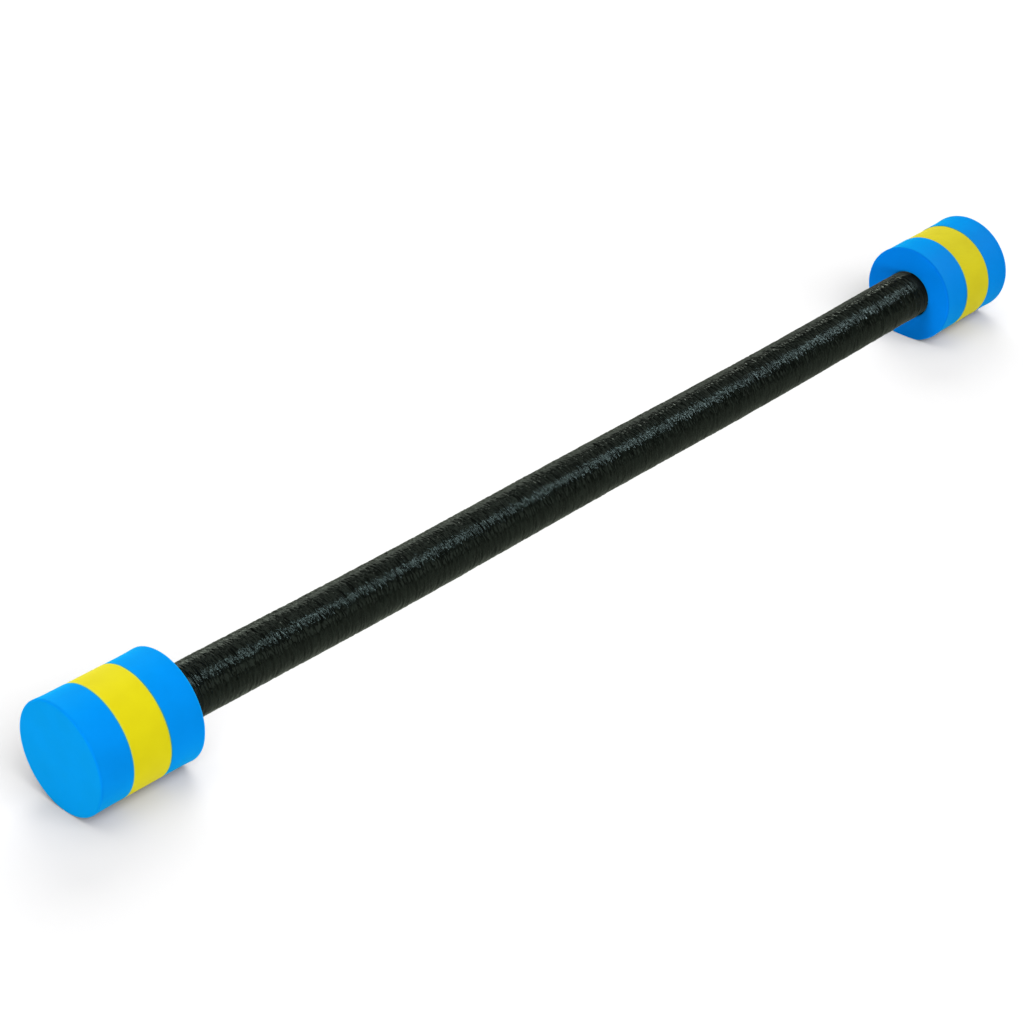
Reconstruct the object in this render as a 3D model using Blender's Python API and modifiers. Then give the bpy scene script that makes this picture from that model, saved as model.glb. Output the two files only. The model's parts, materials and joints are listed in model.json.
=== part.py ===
"""A pool exercise bar: a rigid tube in a soft foam grip, with a laminated foam float glued on each end.

The bar lies along X at rest, its middle over the origin and its floats standing on the plane z = 0.
It hangs a little between the floats, so each float leans: its outer end is the higher one.
Each float is three foam discs. The inner one takes the end of the grip, the middle one only the tube,
and the outer one closes the end over the plug that seals the tube. All sizes are in metres.
"""

import math

import bmesh
import bpy

# Overall sizes
BAR_LENGTH = 1.200
FLOAT_DIAMETER = 0.100
OUTER_DISC_THICKNESS = 0.0320
MIDDLE_DISC_THICKNESS = 0.0370
INNER_DISC_THICKNESS = 0.0340

# The shape that die cutting and resting give the foam
WAIST_DEPTH = 0.0007
WAIST_POWER = 6
EDGE_ROUND = 0.0015
BORE_ROUND = 0.0010
SETTLED_DEPTH = 0.0018
BAR_SAG = 0.0034

# The tube, the plug in each of its ends, and the grip over it
TUBE_DIAMETER = 0.025
TUBE_WALL = 0.0020
GRIP_WALL = 0.0112
PLUG_RIM = 0.0085
PLUG_RIM_THICKNESS = 0.0030
PLUG_DEPTH = 0.0250
PLUG_WALL = 0.0020
PLUG_CHAMFER = 0.0010

# Clearances
GLUE_LINE = 0.0003
FIT_GAP = 0.0003

# How finely the round shapes are divided
FLOAT_SIDES = 64
GRIP_SIDES = 48
TUBE_SIDES = 24
SPAN_STEPS = 10
DISC_STEPS = 3
ROUND_STEPS = 3
MERGE_DISTANCE = 0.00001
SHARP_ANGLE = math.radians(35)

# What follows from those sizes
FLOAT_RADIUS = FLOAT_DIAMETER / 2
MIDDLE_DISC_START = OUTER_DISC_THICKNESS + GLUE_LINE
INNER_DISC_START = MIDDLE_DISC_START + MIDDLE_DISC_THICKNESS + GLUE_LINE
FLOAT_LENGTH = INNER_DISC_START + INNER_DISC_THICKNESS
TUBE_RADIUS = TUBE_DIAMETER / 2
GRIP_BORE_RADIUS = TUBE_RADIUS + FIT_GAP
GRIP_RADIUS = GRIP_BORE_RADIUS + GRIP_WALL
HALF_BAR = BAR_LENGTH / 2
HALF_GRIP = HALF_BAR - INNER_DISC_START
HALF_TUBE = HALF_BAR - MIDDLE_DISC_START
HALF_SPAN = HALF_BAR - FLOAT_LENGTH
FLOAT_LEAN = math.atan(2 * BAR_SAG / HALF_SPAN)
MOUTH_HEIGHT = FLOAT_RADIUS * math.cos(FLOAT_LEAN) - SETTLED_DEPTH
PLUG_RIM_RADIUS = TUBE_RADIUS + PLUG_RIM
PLUG_RADIUS = TUBE_RADIUS - TUBE_WALL - FIT_GAP


def linear_colour(hex_colour):
    """The scene-linear colour of an sRGB hex string."""
    channels = [int(hex_colour[i : i + 2], 16) / 255 for i in (1, 3, 5)]
    return [c / 12.92 if c <= 0.04045 else ((c + 0.055) / 1.055) ** 2.4 for c in channels] + [1]


def material(name, hex_colour, roughness):
    made = bpy.data.materials.new(name)
    made.use_nodes = True
    shader = made.node_tree.nodes["Principled BSDF"]
    shader.inputs["Base Color"].default_value = linear_colour(hex_colour)
    shader.inputs["Roughness"].default_value = roughness
    shader.inputs["Metallic"].default_value = 0
    made.diffuse_color = linear_colour(hex_colour)
    return made


def new_collection(name):
    made = bpy.data.collections.new(name)
    bpy.context.scene.collection.children.link(made)
    return made


def float_radius(x):
    """A float's radius at x from its outer face: a die-cut stack is slimmer between its faces."""
    from_middle = abs(2 * x / FLOAT_LENGTH - 1)
    return FLOAT_RADIUS - WAIST_DEPTH * (1 - from_middle**WAIST_POWER)


def disc_side(start, end):
    """Profile points along a disc's side, from x = start to x = end."""
    spots = [start + (end - start) * step / DISC_STEPS for step in range(DISC_STEPS + 1)]
    return [(x, float_radius(x)) for x in spots]


def quarter_round(centre, radius, first_angle, last_angle):
    """Profile points on an arc about centre, which is (x, distance from the axis)."""
    points = []
    for step in range(ROUND_STEPS + 1):
        angle = first_angle + (last_angle - first_angle) * step / ROUND_STEPS
        points.append((centre[0] + radius * math.cos(angle), centre[1] + radius * math.sin(angle)))
    return points


def outer_disc_profile():
    """Blank outside, with a pocket in its inner face for the plug's rim."""
    edge_centre = (EDGE_ROUND, float_radius(EDGE_ROUND) - EDGE_ROUND)
    pocket_floor = OUTER_DISC_THICKNESS - PLUG_RIM_THICKNESS - FIT_GAP
    pocket_radius = PLUG_RIM_RADIUS + FIT_GAP
    return (
        [(0, 0)]
        + quarter_round(edge_centre, EDGE_ROUND, math.pi, math.pi / 2)
        + disc_side(EDGE_ROUND, OUTER_DISC_THICKNESS)[1:]
        + [(OUTER_DISC_THICKNESS, pocket_radius), (pocket_floor, pocket_radius), (pocket_floor, 0)]
    )


def middle_disc_profile():
    """A plain ring bored for the tube."""
    end = MIDDLE_DISC_START + MIDDLE_DISC_THICKNESS
    bore_radius = TUBE_RADIUS + FIT_GAP
    return [(MIDDLE_DISC_START, bore_radius)] + disc_side(MIDDLE_DISC_START, end) + [(end, bore_radius)]


def inner_disc_profile():
    """A ring bored for the grip, rounded where the grip goes in."""
    bore_radius = GRIP_RADIUS + FIT_GAP
    edge_x = FLOAT_LENGTH - EDGE_ROUND
    edge_centre = (edge_x, float_radius(edge_x) - EDGE_ROUND)
    mouth_centre = (FLOAT_LENGTH - BORE_ROUND, bore_radius + BORE_ROUND)
    return (
        [(INNER_DISC_START, bore_radius)]
        + disc_side(INNER_DISC_START, edge_x)[:-1]
        + quarter_round(edge_centre, EDGE_ROUND, math.pi / 2, 0)
        + quarter_round(mouth_centre, BORE_ROUND, 0, -math.pi / 2)
    )


def plug_profile():
    """A moulded cup with a wide rim, pushed into the tube from outside."""
    rim_face = OUTER_DISC_THICKNESS - PLUG_RIM_THICKNESS
    rim_back = OUTER_DISC_THICKNESS
    tip = rim_back + PLUG_DEPTH
    hollow_radius = PLUG_RADIUS - PLUG_WALL
    return [
        (rim_face, 0),
        (rim_face, PLUG_RIM_RADIUS),
        (rim_back, PLUG_RIM_RADIUS),
        (rim_back, PLUG_RADIUS),
        (tip - PLUG_CHAMFER, PLUG_RADIUS),
        (tip, PLUG_RADIUS - PLUG_CHAMFER),
        (tip, hollow_radius),
        (rim_face + PLUG_WALL, hollow_radius),
        (rim_face + PLUG_WALL, 0),
    ]


def pipe_profile(half_length, outer_radius, bore_radius):
    """A pipe about the bar's middle, with rings of points where the span between the floats may bend."""
    bends = [HALF_SPAN * (2 * step / SPAN_STEPS - 1) for step in range(SPAN_STEPS + 1)]
    along = [-half_length] + bends + [half_length]
    return [(x, outer_radius) for x in along] + [(x, bore_radius) for x in reversed(along)]


def bar_line(x):
    """The bar's line at x along it: its place, its height and how steeply it climbs.

    Between the floats it is a parabola, and inside them it runs on straight.
    """
    within = min(max(x, -HALF_SPAN), HALF_SPAN)
    past = x - within
    climb = math.atan(2 * BAR_SAG * within / HALF_SPAN**2)
    height = MOUTH_HEIGHT - BAR_SAG * (1 - (within / HALF_SPAN) ** 2)
    return within + past * math.cos(climb), height + past * math.sin(climb), climb


def turned(name, profile, sides, closed):
    """A mesh object turned about X from a profile of (x, distance from the axis)."""
    mesh = bpy.data.meshes.new(name)
    edges = [(i, i + 1) for i in range(len(profile) - 1)]
    if closed:
        edges.append((len(profile) - 1, 0))
    mesh.from_pydata([(x, 0, radius) for x, radius in profile], edges, [])
    made = bpy.data.objects.new(name, mesh)
    screw = made.modifiers.new("turn", "SCREW")
    screw.axis = "X"
    screw.steps = sides
    screw.render_steps = sides
    screw.use_merge_vertices = True
    screw.merge_threshold = MERGE_DISTANCE
    return made


def finish(piece, surface):
    """Puts the piece's modifiers into its mesh, smooth except at its real edges."""
    bpy.context.view_layer.update()
    graph = bpy.context.evaluated_depsgraph_get()
    mesh = bpy.data.meshes.new_from_object(piece.evaluated_get(graph))
    piece.modifiers.clear()
    piece.data = mesh
    mesh.name = piece.name
    shape = bmesh.new()
    shape.from_mesh(mesh)
    bmesh.ops.recalc_face_normals(shape, faces=shape.faces)
    shape.to_mesh(mesh)
    shape.free()
    mesh.shade_smooth()
    mesh.set_sharp_from_angle(angle=SHARP_ANGLE)
    mesh.materials.clear()
    mesh.materials.append(surface)


def floor_block(helpers):
    """The space under the floor, which takes off what the floor presses flat."""
    bpy.ops.mesh.primitive_cube_add(size=1)
    block = bpy.context.object
    block.name = "floor_block"
    block.scale = (2 * BAR_LENGTH, 2 * FLOAT_DIAMETER, FLOAT_DIAMETER)
    block.location.z = -FLOAT_DIAMETER / 2
    for owner in list(block.users_collection):
        owner.objects.unlink(block)
    helpers.objects.link(block)
    block.display_type = "WIRE"
    block.hide_render = True
    return block


def float_frame(side, end_x, turn, parts):
    """An empty at the middle of a float's outer face, whose X runs into the float along its axis."""
    x, height, climb = bar_line(end_x)
    frame = bpy.data.objects.new(side + "_float", None)
    frame.location = (x, 0, height)
    frame.rotation_euler = (0, abs(climb), turn)
    frame.empty_display_size = FLOAT_RADIUS
    parts.objects.link(frame)
    return frame


def disc(name, profile, closed, surface, frame, block, parts):
    """A foam disc of the float whose frame is given, flat where it stands on the floor."""
    piece = turned(name, profile, FLOAT_SIDES, closed)
    piece.parent = frame
    parts.objects.link(piece)
    cut = piece.modifiers.new("pressed flat by the floor", "BOOLEAN")
    cut.operation = "DIFFERENCE"
    cut.object = block
    finish(piece, surface)


def end_plug(name, surface, frame, parts):
    piece = turned(name, plug_profile(), TUBE_SIDES, closed=False)
    piece.parent = frame
    parts.objects.link(piece)
    finish(piece, surface)


def pipe(name, half_length, outer_radius, bore_radius, sides, surface, parts):
    """A pipe turned straight and then bent to the bar's line."""
    piece = turned(name, pipe_profile(half_length, outer_radius, bore_radius), sides, closed=True)
    parts.objects.link(piece)
    finish(piece, surface)
    for vertex in piece.data.vertices:
        x, height, climb = bar_line(vertex.co.x)
        off_axis = vertex.co.z
        vertex.co.x = x - off_axis * math.sin(climb)
        vertex.co.z = height + off_axis * math.cos(climb)


def build():
    for old in list(bpy.data.objects):
        bpy.data.objects.remove(old)
    parts = new_collection("pool_exercise_bar")
    helpers = new_collection("cutters")

    blue_foam = material("blue_eva_foam", "#0096E8", 0.62)
    yellow_foam = material("yellow_eva_foam", "#E8DC1C", 0.62)
    black_foam = material("black_polyethylene_foam", "#2A2F2D", 0.45)
    tube_plastic = material("white_pvc", "#E4E4DE", 0.35)
    plug_plastic = material("grey_polyethylene", "#8C9092", 0.45)

    block = floor_block(helpers)
    for side, end_x, turn in (("left", -HALF_BAR, 0), ("right", HALF_BAR, math.pi)):
        frame = float_frame(side, end_x, turn, parts)
        disc(side + "_outer_disc", outer_disc_profile(), False, blue_foam, frame, block, parts)
        disc(side + "_middle_disc", middle_disc_profile(), True, yellow_foam, frame, block, parts)
        disc(side + "_inner_disc", inner_disc_profile(), True, blue_foam, frame, block, parts)
        end_plug(side + "_end_plug", plug_plastic, frame, parts)

    pipe("grip_sleeve", HALF_GRIP, GRIP_RADIUS, GRIP_BORE_RADIUS, GRIP_SIDES, black_foam, parts)
    pipe("core_tube", HALF_TUBE, TUBE_RADIUS, TUBE_RADIUS - TUBE_WALL, TUBE_SIDES, tube_plastic, parts)


build()
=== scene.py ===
# %% [markdown]
# # A pool exercise bar, dressed for its portrait
#
# The object is a bar for exercises in water: a rigid plastic tube inside a soft black grip, with a
# float of three glued foam discs on each end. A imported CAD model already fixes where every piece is
# and how big it is. This script keeps that model as its frame, puts a finely modelled piece in the
# place of each foam solid, and gives every surface a material of its own.
#
# Everything is in metres. The bar lies along X, its floats stand on the floor at z = 0, and it hangs
# a few millimetres lower at its middle.

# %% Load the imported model
import json
import math

import bpy
import numpy as np
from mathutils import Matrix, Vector, noise


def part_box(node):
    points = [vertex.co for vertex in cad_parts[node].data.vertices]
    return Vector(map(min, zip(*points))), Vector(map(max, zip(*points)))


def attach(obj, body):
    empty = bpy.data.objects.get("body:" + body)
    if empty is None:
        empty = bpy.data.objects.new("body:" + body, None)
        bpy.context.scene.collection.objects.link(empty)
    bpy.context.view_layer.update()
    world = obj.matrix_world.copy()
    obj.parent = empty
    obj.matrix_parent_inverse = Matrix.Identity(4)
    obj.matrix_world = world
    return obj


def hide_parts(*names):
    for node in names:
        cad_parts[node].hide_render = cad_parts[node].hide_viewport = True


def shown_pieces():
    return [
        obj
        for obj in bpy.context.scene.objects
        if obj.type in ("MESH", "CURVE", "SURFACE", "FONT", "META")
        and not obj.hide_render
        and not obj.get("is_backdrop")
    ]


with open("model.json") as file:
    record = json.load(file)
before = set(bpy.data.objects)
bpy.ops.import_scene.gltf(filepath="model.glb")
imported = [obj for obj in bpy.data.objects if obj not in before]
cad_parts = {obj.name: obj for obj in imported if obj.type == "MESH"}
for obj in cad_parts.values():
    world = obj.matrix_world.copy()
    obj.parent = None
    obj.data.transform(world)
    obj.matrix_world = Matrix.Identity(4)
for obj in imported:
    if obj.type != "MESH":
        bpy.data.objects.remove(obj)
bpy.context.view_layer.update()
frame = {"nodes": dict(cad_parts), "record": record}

MM = 0.001
print("CAD nodes:", ", ".join(sorted(frame["nodes"])))

# %% [markdown]
# ## Where each float is
#
# The two floats lean a little, because the bar sags between them. The record's end mounts say where
# the middle of each outer face is and which way it looks, so a float's own axis needs no numbers of
# ours: it starts at that point and runs the other way. Along that axis the CAD solids tell how thick
# each disc is and how wide its bore is.

# %% Read the floats' axes and discs
mounts = {mount["name"]: mount for mount in frame["record"]["mounts"]}


def float_axis(side):
    """The middle of a float's outer face, and the direction from there into the float."""
    mount = mounts[side + "_end_face"]
    return Vector(mount["pos_m"]), -Vector(mount["axis"]).normalized()


def measured(node, start, inward):
    """How far a CAD solid reaches along an axis, and how far off it: (first, last, bore, rim)."""
    points = np.array([vertex.co for vertex in frame["nodes"][node].data.vertices]) - np.array(start)
    along = points @ np.array(inward)
    off_axis = np.linalg.norm(points - np.outer(along, inward), axis=1)
    return along.min(), along.max(), off_axis.min(), off_axis.max()


left_start, left_inward = float_axis("left")
_, outer_end, _, rim_radius = measured("left_outer_disc", left_start, left_inward)
middle_start, middle_end, middle_bore, _ = measured("left_middle_disc", left_start, left_inward)
inner_start, float_length, inner_bore, _ = measured("left_inner_disc", left_start, left_inward)
plug_start, _, _, plug_rim = measured("left_end_plug", left_start, left_inward)
print("seams in mm:", [round(x / MM, 2) for x in (outer_end, middle_start, middle_end, inner_start)])
print("float length, rim radius in mm:", round(float_length / MM, 2), round(rim_radius / MM, 2))

# %% [markdown]
# ## The line of the bar
#
# A tube that hangs between two ends takes very nearly the shape of a parabola. A parabola's slope at
# its ends is twice its sag over its half length, so the lean of the floats gives the sag. Inside the
# floats the tube runs on straight.

# %% Work out the bar's line
mouth = left_start + left_inward * float_length
HALF_SPAN = -mouth.x
LEAN = -left_inward.z / left_inward.x
SAG = HALF_SPAN * LEAN / 2
HALF_GRIP = HALF_SPAN + float_length - inner_start


def bar_line(x):
    """Place, height and climb of the bar's middle line, for an array of distances along it."""
    within = np.clip(x, -HALF_SPAN, HALF_SPAN)
    past = x - within
    climb = np.arctan(LEAN * within / HALF_SPAN)
    height = mouth.z - SAG * (1 - (within / HALF_SPAN) ** 2)
    return within + past * np.cos(climb), height + past * np.sin(climb), climb


print("half span, sag in mm:", round(HALF_SPAN / MM, 1), round(SAG / MM, 2))

# %% [markdown]
# ## Helpers for materials
#
# Colours are written as sRGB hex, the way a colour picker shows them, and Blender wants scene-linear
# numbers, so one function converts them. Another adds one node to a material: its own settings, and
# what goes into its sockets, either a value or another node's output. The third starts a material and
# sets what is the same all over its surface on the shader's own sockets, where an export can read it.

# %% Colour and node helpers
def linear_colour(hex_colour):
    """The scene-linear colour of an sRGB hex string."""
    channels = [int(hex_colour[i : i + 2], 16) / 255 for i in (1, 3, 5)]
    return [c / 12.92 if c <= 0.04045 else ((c + 0.055) / 1.055) ** 2.4 for c in channels] + [1]


def add_node(tree, kind, inputs=None, **settings):
    """A new node of a material. inputs maps a socket's name or number to a value or an output."""
    made = tree.nodes.new(kind)
    for name, value in settings.items():
        setattr(made, name, value)
    for socket, value in (inputs or {}).items():
        if isinstance(value, bpy.types.NodeSocket):
            tree.links.new(value, made.inputs[socket])
        else:
            made.inputs[socket].default_value = value
    return made


def new_material(name, roughness, ior):
    """A material whose Principled shader has these constants: (material, node tree, shader)."""
    made = bpy.data.materials.new(name)
    made.use_nodes = True
    shader = made.node_tree.nodes["Principled BSDF"]
    shader.inputs["Roughness"].default_value = roughness
    shader.inputs["IOR"].default_value = ior
    return made, made.node_tree, shader


print("middle grey on a linear scale:", round(linear_colour("#808080")[0], 3))

# %% [markdown]
# ## EVA foam, cut from sheet
#
# The floats are ethylene vinyl acetate foam: millions of closed cells a few tenths of a millimetre
# across, dyed right through. A press die cuts the discs, so a cut surface is matt, very even and
# faintly grained. The eye reads the softness from three things: a broad dull sheen, a colour that
# drifts a little from place to place, and a thin dull green line at each seam, where the glue has
# stained the edges.

# %% A material for foam
CELL = 0.45 * MM
CELL_SHARE = 0.25
# Real cells are too fine to show from a metre away, so a coarser grain helps them.
COARSE_CELL = 1.6 * MM
GRAIN_DEPTH = 0.12 * MM
GRAIN_STRENGTH = 0.35
DRIFT = 28 * MM
FOAM_ROUGHNESS = 0.72
FOAM_IOR = 1.49
FOAM_SPECULAR = 0.015
SHEEN_ROUGHNESS = 0.6


def eva_foam(name, body_hex, shade_hex, stain_hex, sheen, sheen_tint):
    """Matt closed-cell foam: a dyed body that drifts towards a second shade, stained at its seams."""
    made, tree, shader = new_material(name, FOAM_ROUGHNESS, FOAM_IOR)
    shader.inputs["Specular IOR Level"].default_value = FOAM_SPECULAR
    shader.inputs["Sheen Weight"].default_value = sheen
    shader.inputs["Sheen Roughness"].default_value = SHEEN_ROUGHNESS
    shader.inputs["Sheen Tint"].default_value = sheen_tint
    place = add_node(tree, "ShaderNodeTexCoord").outputs["Object"]
    drift = add_node(
        tree, "ShaderNodeTexNoise", {"Vector": place, "Scale": 1 / DRIFT, "Detail": 3.0, "Roughness": 0.5}
    )
    drift_share = add_node(
        tree,
        "ShaderNodeMapRange",
        {"Value": drift.outputs["Fac"], "From Min": 0.35, "From Max": 0.65, "To Min": 0.0, "To Max": 1.0},
    )
    body = add_node(
        tree,
        "ShaderNodeMix",
        {"Factor": drift_share.outputs["Result"], 6: linear_colour(body_hex), 7: linear_colour(shade_hex)},
        data_type="RGBA",
    )
    stain = add_node(tree, "ShaderNodeAttribute", attribute_name="glue_stain")
    surface = add_node(
        tree,
        "ShaderNodeMix",
        {"Factor": stain.outputs["Fac"], 6: body.outputs[2], 7: linear_colour(stain_hex)},
        data_type="RGBA",
    )
    tree.links.new(surface.outputs[2], shader.inputs["Base Color"])
    cells = add_node(tree, "ShaderNodeTexVoronoi", {"Vector": place, "Scale": 1 / CELL})
    grain = add_node(
        tree, "ShaderNodeTexNoise", {"Vector": place, "Scale": 1 / COARSE_CELL, "Detail": 4.0}
    )
    relief = add_node(
        tree,
        "ShaderNodeMath",
        {0: cells.outputs["Distance"], 1: CELL_SHARE, 2: grain.outputs["Fac"]},
        operation="MULTIPLY_ADD",
    )
    bump = add_node(
        tree,
        "ShaderNodeBump",
        {"Height": relief.outputs[0], "Strength": GRAIN_STRENGTH, "Distance": GRAIN_DEPTH},
    )
    tree.links.new(bump.outputs["Normal"], shader.inputs["Normal"])
    return made


print("foam cells and grain in mm:", round(CELL / MM, 2), round(COARSE_CELL / MM, 2))

# %% [markdown]
# The three foams differ only in colour and sheen. One dye would give one blue, but the far float looks
# deeper than the near one, so it has a darker copy of the blue: painted shade for the dimmer light at
# the far end, which was simpler than a light that changes along the bar. The blue also turns a little
# greener at grazing angles, so its sheen is tinted.

# %% The three foams
BLUE_SHEEN = (0.0, 1.0, 0.8, 1.0)
BLUE_SHEEN_WEIGHT = 0.3
BLUE_STAIN = "#237A88"
YELLOW_SHEEN = (1.0, 0.95, 0.55, 1.0)
YELLOW_SHEEN_WEIGHT = 0.12
YELLOW_STAIN = "#93B864"
BLUE_FOAM = eva_foam(
    "blue_eva_foam_die_cut", "#007AD6", "#0077D0", BLUE_STAIN, BLUE_SHEEN_WEIGHT, BLUE_SHEEN
)
# Painted shade: a darker copy of the blue foam for the far float, which stands in dimmer light.
SHADED_BLUE_FOAM = eva_foam(
    "blue_eva_foam_painted_shade", "#006ED6", "#006BD0", BLUE_STAIN, BLUE_SHEEN_WEIGHT, BLUE_SHEEN
)
YELLOW_FOAM = eva_foam(
    "yellow_eva_foam_die_cut", "#C8BE00", "#C4B900", YELLOW_STAIN, YELLOW_SHEEN_WEIGHT, YELLOW_SHEEN
)
print("foam materials:", ", ".join(foam.name for foam in (BLUE_FOAM, SHADED_BLUE_FOAM, YELLOW_FOAM)))

# %% [markdown]
# ## A foam disc as a turned body
#
# A disc is round, so it is made as on a lathe: an outline of (distance along the axis, distance from
# the axis) is swept round in narrow columns. The outline is given by its corners, each with the
# radius that rounds it, and long straight runs are divided so that there are points to move later.

# %% Outline of a turned piece
FINE_STEP = 0.9 * MM
COARSE_STEP = 8 * MM
CORNER_STEPS = 7


def divided(start, end, step):
    """Points from start up to, but not including, end, about step apart."""
    count = max(1, math.ceil((end - start).length / step))
    return [start.lerp(end, i / count) for i in range(count)]


def rounded_outline(corners, closed):
    """The points of an outline. A corner is (x, off axis, rounding, step of the run after it)."""
    places = [Vector((x, off_axis)) for x, off_axis, _, _ in corners]
    last = len(corners) - 1
    points = []
    runs = []
    for i, (_, _, rounding, step) in enumerate(corners):
        here = places[i]
        if rounding and (closed or 0 < i < last):
            before = (places[i - 1] - here).normalized()
            after = (places[(i + 1) % len(places)] - here).normalized()
            turn = [here + before * rounding, here + after * rounding]
            arc = []
            for k in range(CORNER_STEPS + 1):
                t = k / CORNER_STEPS
                arc.append(turn[0] * (1 - t) ** 2 + here * 2 * t * (1 - t) + turn[1] * t**2)
        else:
            arc = [here]
        runs.append((arc, step))
    for i, (arc, step) in enumerate(runs):
        points.extend(arc[:-1])
        if i < last or closed:
            points.extend(divided(arc[-1], runs[(i + 1) % len(runs)][0][0], step))
        else:
            points.append(arc[-1])
    return points


run = divided(Vector((0, 0)), Vector((10 * MM, 0)), FINE_STEP)
print("a straight run of 10 mm is divided into", len(run), "steps")

# %% [markdown]
# ## What makes it look like foam
#
# A perfect cylinder looks like hard plastic. Real die-cut foam bulges under the knife and springs
# back slimmer between its faces, its rim stands half a millimetre fuller than the CAD disc, its discs
# are glued a hair off centre and a little out of round, their sides ripple by a tenth of a millimetre,
# and where the float stands on the floor its own weight presses it flat. Each of these is a small move
# of the vertices, worked out from where the vertex is.

# %% How soft the foam is
WAIST = 0.7 * MM
WAIST_POWER = 6
RIPPLE = 0.10 * MM
RIPPLE_SIZE = 16 * MM
DRAG = 0.04 * MM
DRAG_SIZE = 4 * MM
DRAG_STRETCH = 8
OFF_CENTRE = 0.15 * MM
OUT_OF_ROUND = 0.12 * MM
FULLNESS = 0.5 * MM
RIM_POWER = 4
# A point with more of the rim's weight than this lies on the float's side, and not in a bore.
SIDE_WEIGHT = 0.8
PRESSED_SOFTNESS = 0.6 * MM
STAIN_WIDTH = 1.1 * MM
outer_seam = (outer_end + middle_start) / 2
inner_seam = (middle_end + inner_start) / 2


def waist(x):
    """How much slimmer than its faces a float is at x along it."""
    from_middle = abs(2 * x / float_length - 1)
    return WAIST * (1 - from_middle**WAIST_POWER)


def on_floor(height):
    """Where the floor stops soft foam: never below it, and never with a sharp edge."""
    if height >= PRESSED_SOFTNESS:
        return height
    if height <= -PRESSED_SOFTNESS:
        return 0.0
    return (height + PRESSED_SOFTNESS) ** 2 / (4 * PRESSED_SOFTNESS)


def glue_stain(x, weight):
    """1 at a seam and 0 from STAIN_WIDTH away, on the float's side only."""
    if weight <= SIDE_WEIGHT:
        return 0.0
    edge = min(abs(x - outer_seam), abs(x - inner_seam))
    return max(0.0, 1 - edge / STAIN_WIDTH)


print("waist at the middle in mm:", round(waist(float_length / 2) / MM, 2))

# %% [markdown]
# ## From a turned body to foam
#
# Each point starts where a lathe would leave it and is then moved. The moves that belong to the rim
# fade towards the axis by a power of the radius, so the bores keep their size. The rows of points are
# then joined into faces, and a row of one point is the middle of a blind face.

# %% Shape a disc
COLUMNS = 192
SHARP_DEGREES = 50


def foam_point(x, off_axis, angle, axis, wobble, seed):
    """Where a point of a perfect disc goes in soft foam. wobble is where it leans and is widest."""
    start, inward = axis
    lean_angle, oval_angle = wobble
    across = Vector((0, 1, 0))
    up = inward.cross(across)
    weight = (off_axis / rim_radius) ** RIM_POWER
    shift = OFF_CENTRE * math.cos(angle - lean_angle) + OUT_OF_ROUND * math.cos(2 * (angle - oval_angle))
    radius = off_axis + weight * (FULLNESS + shift - waist(x))
    out = across * math.cos(angle) + up * math.sin(angle)
    place = start + inward * x + out * radius
    ripple = RIPPLE * noise.noise(place / RIPPLE_SIZE + Vector((seed, 0, 0)))
    around = out * (radius / DRAG_SIZE) + inward * (x / (DRAG_STRETCH * DRAG_SIZE))
    ripple += DRAG * noise.noise(around + Vector((0, seed, 0)))
    if weight > SIDE_WEIGHT:
        place += out * ripple
    if x < PRESSED_SOFTNESS or x > float_length - PRESSED_SOFTNESS:
        place += inward * ripple
    place.z = on_floor(place.z)
    return place, glue_stain(x, weight)


def lathe_faces(rows):
    """Faces between each row of points and the next. A row of one point lies on the axis."""
    faces = []
    for near, far in zip(rows, rows[1:]):
        for column in range(COLUMNS):
            after = (column + 1) % COLUMNS
            if len(near) == 1:
                faces.append((near[0], far[column], far[after]))
            elif len(far) == 1:
                faces.append((near[column], far[0], near[after]))
            else:
                faces.append((near[column], far[column], far[after], near[after]))
    return faces


def foam_disc(name, side, corners, closed, foam, seed):
    """One disc of a float, swept round the float's axis and then shaped as soft foam."""
    axis = float_axis(side)
    wobble = np.random.default_rng(seed).uniform(0, 2 * math.pi, 2)
    points = []
    stains = []
    rows = []
    for x, off_axis in rounded_outline(corners, closed):
        row = []
        for column in range(COLUMNS if off_axis > 0 else 1):
            angle = 2 * math.pi * column / COLUMNS
            place, stain = foam_point(x, off_axis, angle, axis, wobble, seed)
            row.append(len(points))
            points.append(place)
            stains.append(stain)
        rows.append(row)
    if closed:
        rows.append(rows[0])
    mesh = bpy.data.meshes.new(name)
    mesh.from_pydata(points, [], lathe_faces(rows))
    mesh.attributes.new("glue_stain", "FLOAT", "POINT").data.foreach_set("value", stains)
    mesh.materials.append(foam)
    mesh.shade_smooth()
    mesh.set_sharp_from_angle(angle=math.radians(SHARP_DEGREES))
    piece = bpy.data.objects.new(name, mesh)
    bpy.context.scene.collection.objects.link(piece)
    return piece


column_width = 2 * math.pi * rim_radius / COLUMNS
print("a disc has", COLUMNS, "columns,", round(column_width / MM, 1), "mm wide at the rim")

# %% [markdown]
# ## The six discs
#
# A float is outer disc, middle disc, inner disc. The outer one is blind and hides the plug's rim in
# a pocket, the middle one is bored for the tube and the inner one for the grip. At a seam the two
# faces are drawn until they all but touch, because the glue there is thinner than a hair: the eye
# sees one colour change into the other over a thin dull line. The discs are left out of mirror images,
# because the picture's grip shows no coloured stripe beside them.

# %% Make the discs
EDGE_ROUND = 2.4 * MM
SEAM_ROUND = 0.15 * MM
MOUTH_ROUND = 2.2 * MM
HAIR = 0.02 * MM
POCKET_GAP = 0.2 * MM
pocket_radius = plug_rim + POCKET_GAP
pocket_floor = plug_start - POCKET_GAP

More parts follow.
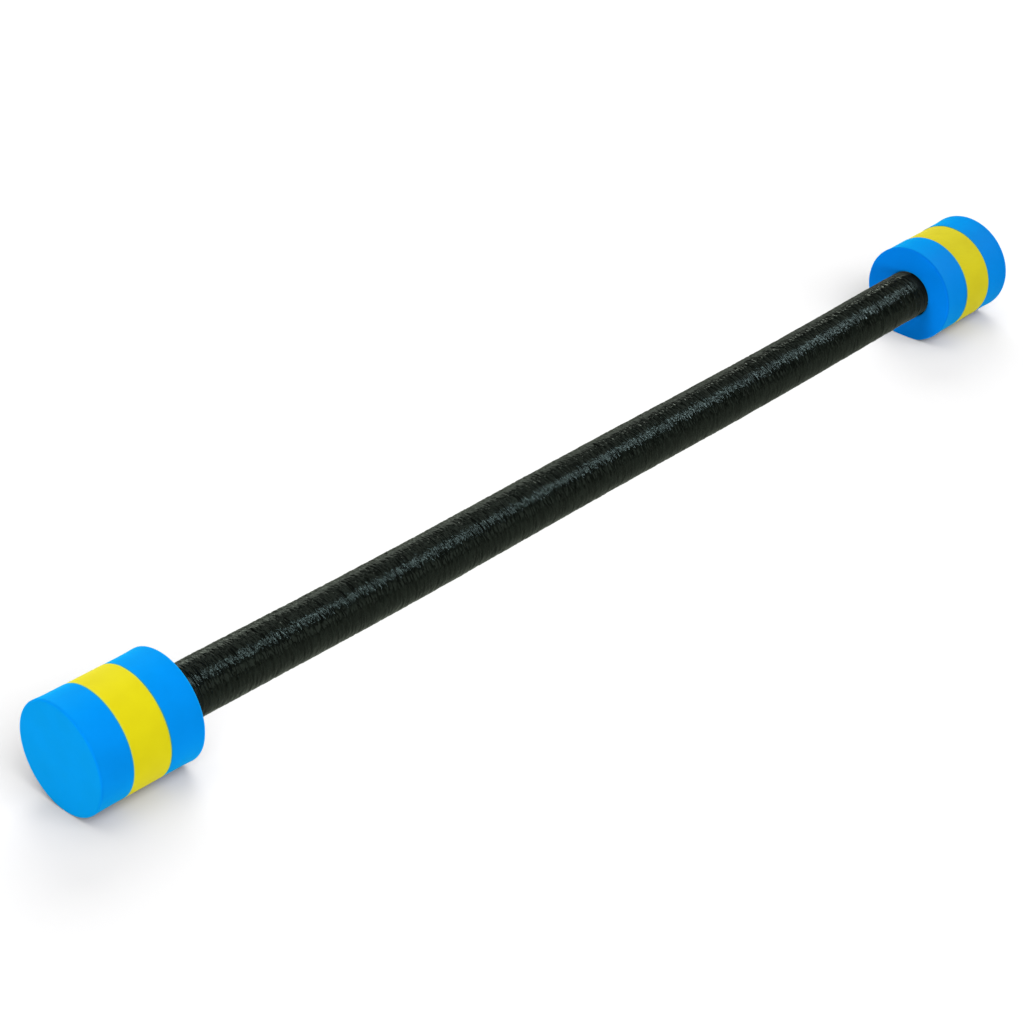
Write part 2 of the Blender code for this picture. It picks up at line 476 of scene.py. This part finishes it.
OUTER_DISC = [
    (0, 0, 0, FINE_STEP),
    (0, rim_radius, EDGE_ROUND, FINE_STEP),
    (outer_seam - HAIR, rim_radius, SEAM_ROUND, COARSE_STEP),
    (outer_seam - HAIR, pocket_radius, 0, COARSE_STEP),
    (pocket_floor, pocket_radius, 0, COARSE_STEP),
    (pocket_floor, 0, 0, COARSE_STEP),
]
MIDDLE_DISC = [
    (outer_seam + HAIR, middle_bore, 0, COARSE_STEP),
    (outer_seam + HAIR, rim_radius, SEAM_ROUND, FINE_STEP),
    (inner_seam - HAIR, rim_radius, SEAM_ROUND, COARSE_STEP),
    (inner_seam - HAIR, middle_bore, 0, COARSE_STEP),
]
INNER_DISC = [
    (inner_seam + HAIR, inner_bore, 0, COARSE_STEP),
    (inner_seam + HAIR, rim_radius, SEAM_ROUND, FINE_STEP),
    (float_length, rim_radius, EDGE_ROUND, FINE_STEP),
    (float_length, inner_bore, MOUTH_ROUND, COARSE_STEP),
]
DISCS = (
    ("outer_disc", OUTER_DISC, False, "blue_foam"),
    ("middle_disc", MIDDLE_DISC, True, "yellow_foam"),
    ("inner_disc", INNER_DISC, True, "blue_foam"),
)
FOAMS = {
    "left": {"blue_foam": BLUE_FOAM, "yellow_foam": YELLOW_FOAM},
    # The far float's blue is the painted-shade copy.
    "right": {"blue_foam": SHADED_BLUE_FOAM, "yellow_foam": YELLOW_FOAM},
}
FIRST_SEED = 4
seed = FIRST_SEED
for side in ("left", "right"):
    for name, corners, closed, slot in DISCS:
        piece = foam_disc(f"{side}_{name}_foam", side, corners, closed, FOAMS[side][slot], seed)
        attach(piece, "root")
        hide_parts(f"{side}_{name}")
        piece.visible_glossy = False
        seed += 1
        print(piece.name, len(piece.data.polygons), "faces")

# %% [markdown]
# ## The grip's crinkled skin
#
# The grip is a tube of polyethylene foam with a thin, shiny, unfoamed skin. When the sleeve is
# pushed on over the plastic tube, that skin shortens and gathers in thousands of short creases round
# the bar, a millimetre or two apart, which break every reflection into dashes. A bump map would
# leave the outline smooth and the creases without shade, so 16,000 of them are pressed into the mesh
# itself: one crease is a shallow groove with raised lips, one or two millimetres wide and up to 0.36 mm
# deep, at a random place and a little slanted, and about a centimetre long round the bar. Three more
# run right round it near its ends.

# %% Press creases into the skin
ROW_STEP = 0.58 * MM
AROUND = 56
CREASES = 16000
CREASE_SEED = 11
CREASE_WIDTH = (0.9 * MM, 1.7 * MM)
CREASE_DEPTH = (0.05 * MM, 0.36 * MM)
DEPTH_POWER = 1.5
CREASE_REACH = (0.1, 0.24)
FADE_POWER = 4
GROOVE_SPAN = 5
CREASE_SLANT = 3 * MM
RING_CREASES = ((0.4226, 0.6 * MM), (0.4713, 0.5 * MM), (-0.4790, 0.3 * MM))
RING_WIDTH = 1.1 * MM
RING_WANDER = 1.2 * MM


def groove(across, width):
    """A groove with raised lips, 1 deep, at a distance across it."""
    share = (across / width) ** 2
    return -(1 - share) * np.exp(-share)


def creased_skin(rows, angles):
    """The skin's relief in metres, at each row along the bar and each angle round it."""
    draw = np.random.default_rng(CREASE_SEED)
    relief = np.zeros((len(rows), len(angles)))
    for _ in range(CREASES):
        middle = draw.uniform(rows[0], rows[-1])
        facing = draw.uniform(0, 2 * np.pi)
        width = draw.uniform(*CREASE_WIDTH)
        depth = CREASE_DEPTH[0] + (CREASE_DEPTH[1] - CREASE_DEPTH[0]) * draw.uniform() ** DEPTH_POWER
        reach = draw.uniform(*CREASE_REACH)
        slant = draw.normal(0, CREASE_SLANT)
        span = GROOVE_SPAN * width
        first, last = np.searchsorted(rows, (middle - span, middle + span))
        turn = (angles - facing + np.pi) % (2 * np.pi) - np.pi
        fade = np.exp(-((turn / reach) ** FADE_POWER))
        across = rows[first:last, None] - middle - slant * turn[None, :]
        relief[first:last] += depth * fade[None, :] * groove(across, width)
    for middle, depth in RING_CREASES:
        wander = RING_WANDER * np.sin(angles + middle / MM)
        relief += depth * groove(rows[:, None] - middle - wander[None, :], RING_WIDTH)
    return relief


skin_rows = np.linspace(-HALF_SPAN, HALF_SPAN, round(2 * HALF_SPAN / ROW_STEP))
skin_angles = 2 * np.pi * np.arange(AROUND) / AROUND
relief = creased_skin(skin_rows, skin_angles)
print("skin relief in mm:", round(relief.min() / MM, 2), "to", round(relief.max() / MM, 2))

# %% [markdown]
# ## The grip's mesh
#
# The rows become rings of vertices round the bar's line. Inside the floats the sleeve can't be seen,
# so one plain ring carries it to each end, and a few rings that go back through the middle give it
# its bore: it is a closed tube with a real wall.
#
# Soft foam is never quite straight. The skin stands 0.6 mm fuller than the CAD sleeve, swells and
# shrinks by up to 0.3 mm over 14 mm, is pinched over the last 8 mm where it goes into a float, and
# wanders up and down by 0.7 mm over half a metre.

# %% Rings round the bar
SWELL = 0.3 * MM
SWELL_SIZE = 14 * MM
_, bar_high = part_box("grip_sleeve")
GRIP_RADIUS = bar_high.y


def swept_rings(rows, radii):
    """Points of rings round the bar's line: rows (n), radii (n, around)."""
    place, height, climb = (value[:, None] for value in bar_line(rows))
    up = radii * np.sin(skin_angles)
    beside = radii * np.cos(skin_angles)
    return np.stack([place - up * np.sin(climb), beside, height + up * np.cos(climb)], axis=2)


def swell(rows):
    """Slow changes of the sleeve's radius along and round it."""
    turns = GRIP_RADIUS / SWELL_SIZE
    return np.array(
        [
            [
                SWELL * noise.noise((x / SWELL_SIZE, math.cos(angle) * turns, math.sin(angle) * turns))
                for angle in skin_angles
            ]
            for x in rows
        ]
    )


def ring_faces(ring_count):
    """Quads between each ring and the next, the last ring joining the first."""
    here = np.arange(ring_count)[:, None] * AROUND
    after = (np.arange(ring_count)[:, None] + 1) % ring_count * AROUND
    column = np.arange(AROUND)[None, :]
    beside = (column + 1) % AROUND
    return np.stack([here + column, here + beside, after + beside, after + column], axis=2).reshape(-1, 4)


print("CAD sleeve's radius in mm:", round(GRIP_RADIUS / MM, 2))

# %% [markdown]
# The rings are laid down in order: the left end, the skin, the right end and back through the bore. The
# last one joins the first, so the mesh closes on itself and has no open edge.

# %% Build the grip
GRIP_FULLNESS = 0.6 * MM
PINCH = 0.3 * MM
PINCH_LENGTH = 8 * MM
WANDER = 0.7 * MM
WANDER_LENGTH = 500 * MM
BORE_STEP = 25 * MM
to_mouth = HALF_SPAN - np.abs(skin_rows)[:, None] + np.zeros((1, AROUND))
fullness = (GRIP_FULLNESS + PINCH) * np.clip(to_mouth / PINCH_LENGTH, 0, 1) ** 0.5 - PINCH
skin_rings = swept_rings(skin_rows, GRIP_RADIUS + fullness + relief + swell(skin_rows))
skin_rings[:, :, 2] += WANDER * np.cos(2 * np.pi * skin_rows[:, None] / WANDER_LENGTH)
bore_rows = np.linspace(HALF_GRIP, -HALF_GRIP, round(2 * HALF_GRIP / BORE_STEP))
plain = np.ones((1, AROUND))
rings = np.concatenate(
    [
        swept_rings(np.array([-HALF_GRIP]), GRIP_RADIUS * plain),
        skin_rings,
        swept_rings(np.array([HALF_GRIP]), GRIP_RADIUS * plain),
        swept_rings(bore_rows, middle_bore * np.ones((len(bore_rows), AROUND))),
    ]
)
skin = bpy.data.meshes.new("grip_skin")
skin.from_pydata(rings.reshape(-1, 3).tolist(), [], ring_faces(len(rings)).tolist())
skin.shade_smooth()
grip = bpy.data.objects.new("grip_skin", skin)
bpy.context.scene.collection.objects.link(grip)
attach(grip, "root")
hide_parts("grip_sleeve")
print("grip:", len(rings), "rings of", AROUND, "points,", len(skin.polygons), "faces")

# %% [markdown]
# ## The skin's finish
#
# Extruded polyethylene has a glossy skin. Two things are kept on the mesh as attributes, so that the
# material can follow them exactly: the relief, which paints shade into the skin by making the grooves
# darker and the crests a little paler, and how near a mouth is, because the last 20 mm are rubbed by
# nobody's hands and are duller.

# %% Keep the relief and the mouths on the mesh
PAINTED_SHADE_RELIEF_FULL = 0.3 * MM
UNRUBBED = 20 * MM


def keep_on_skin(name, plain_value, values):
    """A value for each point of the grip: values on the skin's rows and plain_value on the others."""
    kept = np.full((len(rings), AROUND), plain_value)
    kept[1 : len(skin_rows) + 1] = values
    skin.attributes.new(name, "FLOAT", "POINT").data.foreach_set("value", kept.ravel())


# The relief, scaled, sets the painted shade of the grooves and crests.
keep_on_skin("painted_shade_relief", 0.0, relief / PAINTED_SHADE_RELIEF_FULL)
keep_on_skin("unrubbed", 1.0, np.clip(1 - to_mouth / UNRUBBED, 0, 1))
print("kept on the grip:", ", ".join(name for name in ("painted_shade_relief", "unrubbed") if name in skin.attributes))

# %% [markdown]
# Fine ripples are too small for the mesh, so a bump gives them: noise stretched round the bar, 2 mm
# along it and 4.5 mm round it, which pulls the reflections out into short dashes.

# %% Grip material
FIBRE = 1.9 * MM
FIBRE_ARC = 4.5 * MM
FIBRE_DEPTH = 0.55 * MM
RUBBED = 18 * MM
SKIN_IOR = 1.51
SKIN_SPECULAR = 0.25
SKIN_TINT = (0.86, 1.0, 0.93, 1.0)
GLOSS = (0.08, 0.16)
DULL = 0.5
# How far the relief reaches before the painted shade is at its darkest or palest.
PAINTED_SHADE_RANGE = 0.8


def extruded_skin(name, shaded_groove_hex, lit_crest_hex):
    """Glossy black foam skin, duller at mouths, with painted shade: dark grooves, paler crests."""
    made, tree, shader = new_material(name, GLOSS[1], SKIN_IOR)
    shader.inputs["Specular IOR Level"].default_value = SKIN_SPECULAR
    shader.inputs["Specular Tint"].default_value = SKIN_TINT
    place = add_node(tree, "ShaderNodeTexCoord").outputs["Object"]
    # Painted shade: the relief darkens the base colour in the grooves and lightens it on the crests.
    height = add_node(tree, "ShaderNodeAttribute", attribute_name="painted_shade_relief").outputs["Fac"]
    painted_shade_share = add_node(
        tree,
        "ShaderNodeMapRange",
        {"Value": height, "From Min": -PAINTED_SHADE_RANGE, "From Max": PAINTED_SHADE_RANGE, "To Min": 0.0, "To Max": 1.0},
    )
    body = add_node(
        tree,
        "ShaderNodeMix",
        {
            "Factor": painted_shade_share.outputs["Result"],
            6: linear_colour(shaded_groove_hex),
            7: linear_colour(lit_crest_hex),
        },
        data_type="RGBA",
    )
    tree.links.new(body.outputs[2], shader.inputs["Base Color"])
    rubbed = add_node(
        tree, "ShaderNodeTexNoise", {"Vector": place, "Scale": 1 / RUBBED, "Detail": 3.0}
    )
    gloss = add_node(
        tree,
        "ShaderNodeMapRange",
        {
            "Value": rubbed.outputs["Fac"],
            "From Min": 0.3,
            "From Max": 0.7,
            "To Min": GLOSS[0],
            "To Max": GLOSS[1],
        },
    )
    unrubbed = add_node(tree, "ShaderNodeAttribute", attribute_name="unrubbed").outputs["Fac"]
    dulled = add_node(tree, "ShaderNodeMix", {0: unrubbed, 2: gloss.outputs["Result"], 3: DULL})
    tree.links.new(dulled.outputs[0], shader.inputs["Roughness"])
    stretched = add_node(
        tree,
        "ShaderNodeMapping",
        {"Vector": place, "Scale": (1 / FIBRE, 1 / FIBRE_ARC, 1 / FIBRE_ARC)},
    )
    fibre = add_node(
        tree, "ShaderNodeTexNoise", {"Vector": stretched.outputs["Vector"], "Scale": 1.0, "Detail": 1.0}
    )
    bump = add_node(
        tree,
        "ShaderNodeBump",
        {"Height": fibre.outputs["Fac"], "Strength": 1.0, "Distance": FIBRE_DEPTH},
    )
    tree.links.new(bump.outputs["Normal"], shader.inputs["Normal"])
    return made


# Painted shade: the first colour is for the grooves, the second, paler one for the crests.
skin.materials.append(extruded_skin("black_polyethylene_extruded_skin", "#131612", "#242923"))
print("grip material:", skin.materials[0].name)

# %% [markdown]
# ## The tube and the plugs
#
# The rigid core is white PVC pipe and the plugs are moulded grey polyethylene. Both are hard parts
# whose CAD shape is right, so the CAD solids stay and only get materials: long faint lines from the
# extruder's die on the pipe, and the fine spark-eroded grain of the mould on the plugs.

# %% Materials of the hard parts
DIE_LINE = 0.8 * MM
DIE_LINE_LENGTH = 120 * MM
MOULD_GRAIN = 0.7 * MM
PLASTIC_BUMP = 0.3
PLASTIC_DEPTH = 0.05 * MM
FADED = "#D8D8D2"


def hard_plastic(name, body_hex, roughness, ior, grain):
    """Rigid plastic that fades in its fine relief. grain is the relief's size along X, Y and Z."""
    made, tree, shader = new_material(name, roughness, ior)
    place = add_node(tree, "ShaderNodeTexCoord").outputs["Object"]
    sized = add_node(
        tree, "ShaderNodeMapping", {"Vector": place, "Scale": tuple(1 / size for size in grain)}
    )
    relief = add_node(
        tree, "ShaderNodeTexNoise", {"Vector": sized.outputs["Vector"], "Scale": 1.0, "Detail": 4.0}
    )
    body = add_node(
        tree,
        "ShaderNodeMix",
        {"Factor": relief.outputs["Fac"], 6: linear_colour(body_hex), 7: linear_colour(FADED)},
        data_type="RGBA",
    )
    tree.links.new(body.outputs[2], shader.inputs["Base Color"])
    bump = add_node(
        tree,
        "ShaderNodeBump",
        {"Height": relief.outputs["Fac"], "Strength": PLASTIC_BUMP, "Distance": PLASTIC_DEPTH},
    )
    tree.links.new(bump.outputs["Normal"], shader.inputs["Normal"])
    return made


PIPE = hard_plastic("white_pvc_extruded", "#E4E4DE", 0.35, 1.53, (DIE_LINE_LENGTH, DIE_LINE, DIE_LINE))
PLUG = hard_plastic("grey_polyethylene_moulded", "#8C9092", 0.45, 1.51, (MOULD_GRAIN,) * 3)
for node, finish, slot in (
    ("core_tube", PIPE, "white_pvc"),
    ("left_end_plug", PLUG, "grey_polyethylene"),
    ("right_end_plug", PLUG, "grey_polyethylene"),
):
    solid = frame["nodes"][node]
    solid.data.materials.clear()
    solid.data.materials.append(finish)
print("hard parts finished:", PIPE.name, PLUG.name)

# %% [markdown]
# ## Floor
#
# The portrait is high key: a plain pale floor, lit until it has no visible edge. Its paper is kept a
# middling grey and gets more light instead, so that the strong blue and yellow of the floats don't
# stain it, and it is left out of mirror images, so that the grip stays black.

# %% Make the floor
FLOOR_SIDE = 60.0
PAPER_GREY = "#767676"
bpy.ops.mesh.primitive_plane_add(size=FLOOR_SIDE)
floor = bpy.context.object
floor.name = "floor"
paper, _, paper_shader = new_material("seamless_paper_matt", roughness=0.9, ior=1.5)
paper_shader.inputs["Base Color"].default_value = linear_colour(PAPER_GREY)
paper_shader.inputs["Specular IOR Level"].default_value = 0.0
floor.data.materials.append(paper)
floor.visible_glossy = False
floor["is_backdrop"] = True
print("floor:", FLOOR_SIDE, "m across")

# %% [markdown]
# ## Light
#
# Plain soft studio light. The room itself glows by height: pale below, where a white floor would
# throw light back up, black round the horizon and dim grey overhead. The grip mirrors what is near the
# horizon, so the black keeps it black. The far end of the room is dimmer. Looked at directly, the room
# is as pale as the floor.

# %% Let the room glow
ROOM_GLOW = ((0.0, "#939B8C"), (0.46, "#939B8C"), (0.53, "#000000"), (0.65, "#000000"), (0.97, "#595959"))
DIM_FROM = 0.6
DIM_TO = 0.8
DIM_GLOW = 0.5
PALENESS = 0.98


def studio_world(glow_by_height, paleness):
    """A room that glows by height, 0 being straight down and 1 straight up. A camera sees one pale grey."""
    world = bpy.data.worlds.new("studio")
    world.use_nodes = True
    tree = world.node_tree
    direction = add_node(tree, "ShaderNodeTexCoord").outputs["Generated"]
    axes = add_node(tree, "ShaderNodeSeparateXYZ", {"Vector": direction})
    height = add_node(tree, "ShaderNodeMapRange", {"Value": axes.outputs["Z"], "From Min": -1.0})
    room = add_node(tree, "ShaderNodeValToRGB", {"Fac": height.outputs["Result"]})
    stops = room.color_ramp.elements
    stops.remove(stops[1])
    for place, hex_colour in glow_by_height:
        stop = stops[0] if place == 0 else stops.new(place)
        stop.color = linear_colour(hex_colour)
    dimmer = add_node(
        tree,
        "ShaderNodeMapRange",
        {
            "Value": axes.outputs["X"],
            "From Min": DIM_FROM,
            "From Max": DIM_TO,
            "To Min": 1.0,
            "To Max": DIM_GLOW,
        },
    )
    seen = add_node(tree, "ShaderNodeLightPath").outputs["Is Camera Ray"]
    strength = add_node(tree, "ShaderNodeMix", {0: seen, 2: dimmer.outputs["Result"], 3: paleness})
    colour = add_node(
        tree,
        "ShaderNodeMix",
        {0: seen, 6: room.outputs["Color"], 7: (1, 1, 1, 1)},
        data_type="RGBA",
    )
    tree.links.new(strength.outputs[0], tree.nodes["Background"].inputs["Strength"])
    tree.links.new(colour.outputs[2], tree.nodes["Background"].inputs["Color"])
    world.cycles.sampling_method = "NONE"
    bpy.context.scene.world = world


studio_world(ROOM_GLOW, PALENESS)
print("room:", bpy.context.scene.world.name)

# %% [markdown]
# ## Who is lit by what
#
# A studio would use black cards to keep one lamp's light off everything but its subject. Light
# linking does the same with a collection: the lamp lights only the collection's members. Floats, grip
# and floor have lamps of their own. Only the floats cast a shadow in the floor's light, which leaves the
# ground under the long grip clean.

# %% Groups and kinds of lamp
MIDDLE = (0, 0, 0.05)


def group(name, members):
    """A collection that only says which objects a panel lights or which ones cast its shadows."""
    made = bpy.data.collections.new(name)
    for member in members:
        made.objects.link(member)
    return made


def hang(light, place, target, lit, blockers=None):
    """Put a lamp at place, turn it to target and let it light only the objects of one group."""
    lamp = bpy.data.objects.new(light.name, light)
    lamp.location = place
    lamp.rotation_euler = (Vector(target) - Vector(place)).to_track_quat("-Z", "Y").to_euler()
    lamp.light_linking.receiver_collection = lit
    if blockers:
        lamp.light_linking.blocker_collection = blockers
        light.cycles.use_multiple_importance_sampling = False
    bpy.context.scene.collection.objects.link(lamp)


def panel(name, place, target, size, power, tint, lit):
    """A rectangular softbox."""
    light = bpy.data.lights.new(name, "AREA")
    light.shape = "RECTANGLE"
    light.size, light.size_y = size
    light.energy = power
    light.color = tint
    hang(light, place, target, lit)


def distant_lamp(name, place, width_degrees, strength, lit, blockers):
    """A soft lamp so far away that it lights the whole floor evenly. place only gives its direction."""
    light = bpy.data.lights.new(name, "SUN")
    light.angle = math.radians(width_degrees)
    light.energy = strength
    hang(light, place, (0, 0, 0), lit, blockers)


discs = [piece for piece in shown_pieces() if "disc" in piece.name]
the_floats = group("lit_floats", discs)
the_grip = group("lit_grip", [grip])
the_floor = group("lit_floor", [floor])
print("lit together:", len(discs), "discs, and on their own the grip and the floor")

# %% [markdown]
# The floats have five white softboxes round them. The nearer ones are weak and the far right one is
# strong, so both floats get nearly the same light. Each power is a share of one value.

# %% Light the floats
WHITE = (1, 1, 1)
FLOAT_LIGHT = 40
FLOAT_PANELS = (
    ("floats_above", (-1.2, 0.4, 2.0), (-0.6, 0, 0), (1.2, 1.0), 1.0),
    ("floats_front", (-1.0, -2.2, 0.35), (-0.3, 0, 0.05), (1.6, 0.6), 0.9),
    ("floats_left", (-2.4, 0.3, 0.9), (-0.6, 0, 0.05), (1.0, 1.0), 0.4),
    ("floats_right", (3.4, -0.4, 1.2), (0.6, 0, 0.05), (1.0, 1.0), 2.8),
    ("floats_back", (0.8, 2.0, 1.2), MIDDLE, (1.6, 1.0), 0.9),
)
for name, place, target, size, share in FLOAT_PANELS:
    panel(name, place, target, size, FLOAT_LIGHT * share, WHITE, the_floats)
print("panels for the floats:", len(FLOAT_PANELS))

# %% [markdown]
# The grip is a long dark mirror, so its lamps are chosen for what they look like in it: two narrow
# strips draw the bright line in front and two draw the fainter one behind, and large weak panels give
# the skin between them its tone. The lamps of the bright line are cool and the others a little
# greenish.

# %% Light the grip
COOL = (0.8, 1.0, 1.05)
GREENISH = (0.95, 1.05, 0.9)
GRIP_LIGHT = 36
GRIP_PANELS = (
    ("glint_front_a", (2.0, -2.0, 4.1), MIDDLE, (0.25, 3.4), 1, COOL),
    ("glint_front_b", (4.2, -1.1, 2.5), MIDDLE, (0.25, 3.4), 1, COOL),
    ("glow_front", (1.6, -1.4, 3.0), (0.6, 0, 0.05), (3.0, 1.6), 1 / 8, COOL),
    ("glint_back_a", (2.0, 4.2, 1.8), MIDDLE, (0.3, 2.0), 1 / 8, GREENISH),
    ("glint_back_b", (4.2, 2.5, 1.1), MIDDLE, (0.3, 2.0), 1 / 8, GREENISH),
    ("glow_back", (2.0, 3.6, 1.4), (1.0, 0, 0.05), (4.0, 2.0), 1 / 2, GREENISH),
    ("soft_top", (2.0, 1.0, 3.3), (0.5, 0, 0.05), (4.0, 1.6), 1 / 3, GREENISH),
    ("soft_front", (0.2, -2.6, 1.0), MIDDLE, (3.0, 1.2), 1 / 4, GREENISH),
)
for name, place, target, size, share, tint in GRIP_PANELS:
    panel(name, place, target, size, GRIP_LIGHT * share, tint, the_grip)
print("panels for the grip:", len(GRIP_PANELS))

# %% [markdown]
# A near lamp would leave the far floor dark in low views. The floor's lamps are as distant as the sun
# but wide, so the whole floor is equally pale and its shadows are still soft. A slanted lamp reaches
# the floor weaker, so its strength is its share over its slope.

# %% Light the floor
FLOOR_LIGHT = 18
FLOOR_LAMPS = (
    ("floor_above", (0, 0, 1), 55, 1 / 3),
    ("floor_front", (0, -1, 1), 45, 1 / 3),
    ("floor_front_left", (-1, -1, 1), 35, 1 / 6),
    ("floor_back_right", (1, 1, 1), 35, 1 / 6),
)
for name, place, width, share in FLOOR_LAMPS:
    slope = Vector(place).normalized().z
    distant_lamp(name, place, width, FLOOR_LIGHT * share / slope, the_floor, the_floats)
bpy.context.scene.view_settings.view_transform = "Standard"

# %% [markdown]
# ## The camera
#
# The portrait was taken from beyond the left float, from 1.2 m above the floor, with a long lens. The
# camera's place and turn are those that lay the circles of the floats and the edges of the bar over
# the ones in the picture.

# %% Camera
CAMERA_PLACE = (-1.5297, -1.3521, 1.2447)
CAMERA_PITCH = math.radians(31.261)
CAMERA_HEADING = math.radians(43.321)
LENS_MM = 91.55
SENSOR_MM = 36
camera_data = bpy.data.cameras.new("portrait")
camera_data.lens = LENS_MM
camera_data.sensor_width = SENSOR_MM
camera = bpy.data.objects.new("portrait", camera_data)
camera.location = CAMERA_PLACE
camera.rotation_euler = (math.pi / 2 - CAMERA_PITCH, 0, CAMERA_HEADING - math.pi / 2)
bpy.context.scene.collection.objects.link(camera)
bpy.context.scene.camera = camera
print("camera:", CAMERA_PLACE, "lens", LENS_MM)
